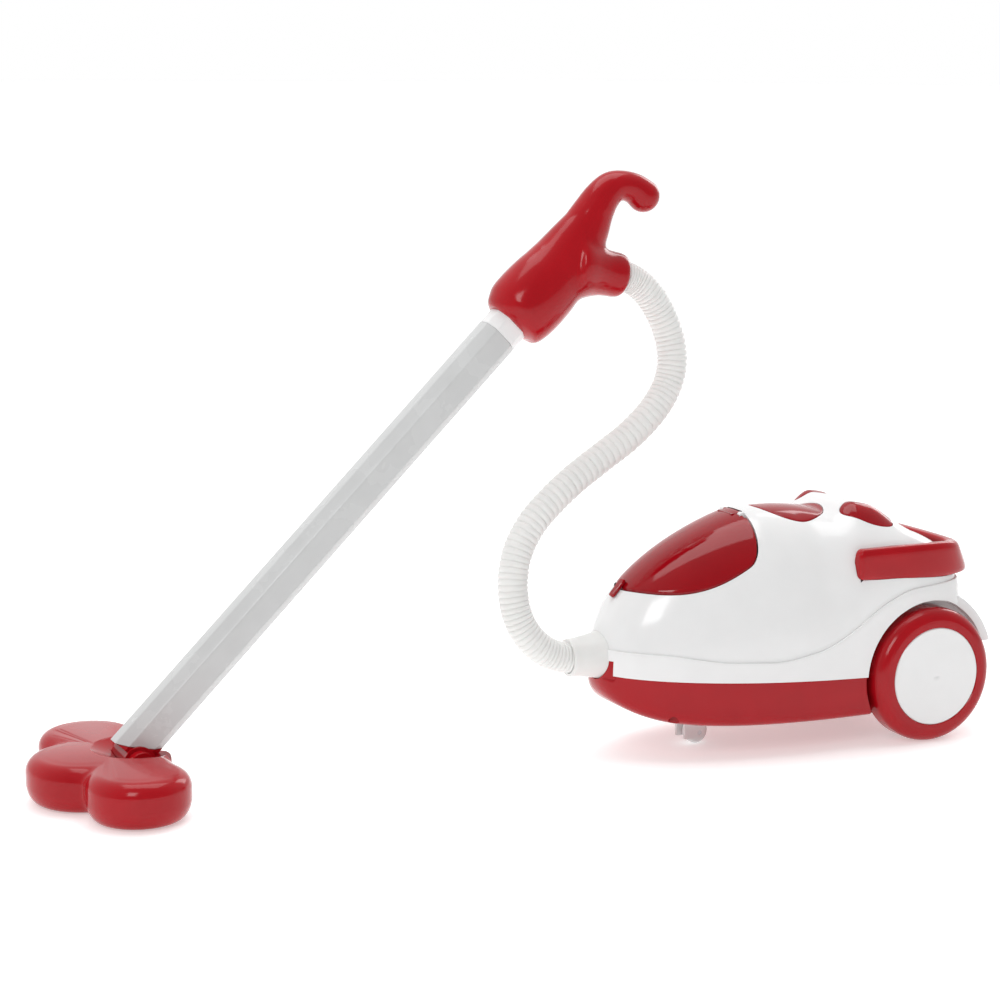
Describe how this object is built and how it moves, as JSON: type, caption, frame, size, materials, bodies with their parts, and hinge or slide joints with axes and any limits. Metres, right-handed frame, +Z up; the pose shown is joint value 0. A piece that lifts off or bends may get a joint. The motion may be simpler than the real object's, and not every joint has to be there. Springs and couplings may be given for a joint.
{
  "type": "toy vacuum cleaner",
  "caption": "Toy cylinder vacuum cleaner: wheeled canister with opening dust lid and press button, ribbed hose, and a leaning wand with hooked handle and lobed floor head.",
  "frame": {"origin": "middle of the toy's footprint, on the floor", "axes": "+X runs from the floor head to the canister's tail, +Z up, the canister on the -Y side of the wand"},
  "size_m": [0.6343, 0.1979, 0.3754],
  "materials": {
    "red_shell": "glossy moulded plastic",
    "white_shell": "glossy moulded plastic",
    "soft_white": "flexible satin plastic",
    "clear_red": "tinted, partly see-through plastic",
    "grey_tube": "silver-grey satin plastic",
    "dark_plastic": "dark plastic",
    "cells": "plain wrapped cell",
    "steel": "zinc-plated steel"
  },
  "bodies": {
    "canister": {"base_pan": "red_shell", "upper_shell": "white_shell", "inlet_collar": "white_shell", "hose_cuff": "soft_white", "hose": "soft_white", "lid_pin": "steel", "dust_bin": "grey_tube", "bin_grille": "dark_plastic", "fan_shroud": "grey_tube", "motor": "steel", "motor_saddle": "dark_plastic", "switch_bracket": "dark_plastic", "bracket_screws": "steel", "switch": "dark_plastic", "left_lens": "clear_red", "right_lens": "clear_red", "lamp_bulbs": "white_shell", "rear_handle": "red_shell", "rear_axle": "steel", "axle_nuts": "steel", "battery_cells": "cells", "battery_contacts": "steel", "battery_door": "red_shell", "door_screw": "steel", "case_screws": "steel", "head_top": "red_shell", "head_sole": "dark_plastic", "head_screws": "steel", "neck_pins": "steel"},
    "lid": {"dust_lid": "clear_red"},
    "button": {"power_button": "clear_red"},
    "left_wheel": {"left_wheel": "red_shell", "left_disc": "white_shell"},
    "right_wheel": {"right_wheel": "red_shell", "right_disc": "white_shell"},
    "caster": {"caster_fork": "white_shell", "caster_clip": "steel", "caster_pin": "steel"},
    "caster_roller": {"caster_wheel": "white_shell"},
    "fan": {"impeller": "white_shell", "motor_shaft": "steel"},
    "wand": {"neck": "red_shell", "wand_tube": "grey_tube", "tube_collar": "white_shell", "handle_near": "red_shell", "handle_far": "red_shell", "handle_screws": "steel", "hose_spigot": "white_shell"}
  },
  "joints": [
    {"name": "lid_hinge", "type": "hinge", "parent": "canister", "child": "lid", "pos_m": [0.14732, -0.0285, 0.15246], "axis": [0, 1, 0], "range_deg": [0, 65]},
    {"name": "button_press", "type": "slide", "parent": "canister", "child": "button", "axis": [0, 0, -1], "range_m": [0, 0.002], "stiffness_N_per_m": 300, "springref_m": -0.002},
    {"name": "left_wheel_spin", "type": "hinge", "parent": "canister", "child": "left_wheel", "pos_m": [0.26382, -0.0885, 0.045], "axis": [0, 1, 0], "continuous": true},
    {"name": "right_wheel_spin", "type": "hinge", "parent": "canister", "child": "right_wheel", "pos_m": [0.26382, 0.0315, 0.045], "axis": [0, 1, 0], "continuous": true},
    {"name": "caster_swivel", "type": "hinge", "parent": "canister", "child": "caster", "pos_m": [0.11382, -0.0285, 0.03], "axis": [0, 0, 1], "continuous": true},
    {"name": "caster_roll", "type": "hinge", "parent": "caster", "child": "caster_roller", "pos_m": [0.12082, -0.0285, 0.008], "axis": [0, 1, 0], "continuous": true},
    {"name": "fan_spin", "type": "hinge", "parent": "canister", "child": "fan", "pos_m": [0.16382, -0.0285, 0.08], "axis": [1, 0, 0], "continuous": true},
    {"name": "wand_lean", "type": "hinge", "parent": "canister", "child": "wand", "pos_m": [-0.25068, 0.0155, 0.0225], "axis": [0, -1, 0], "range_deg": [-10, 20], "deforming": ["hose"]}
  ]
}
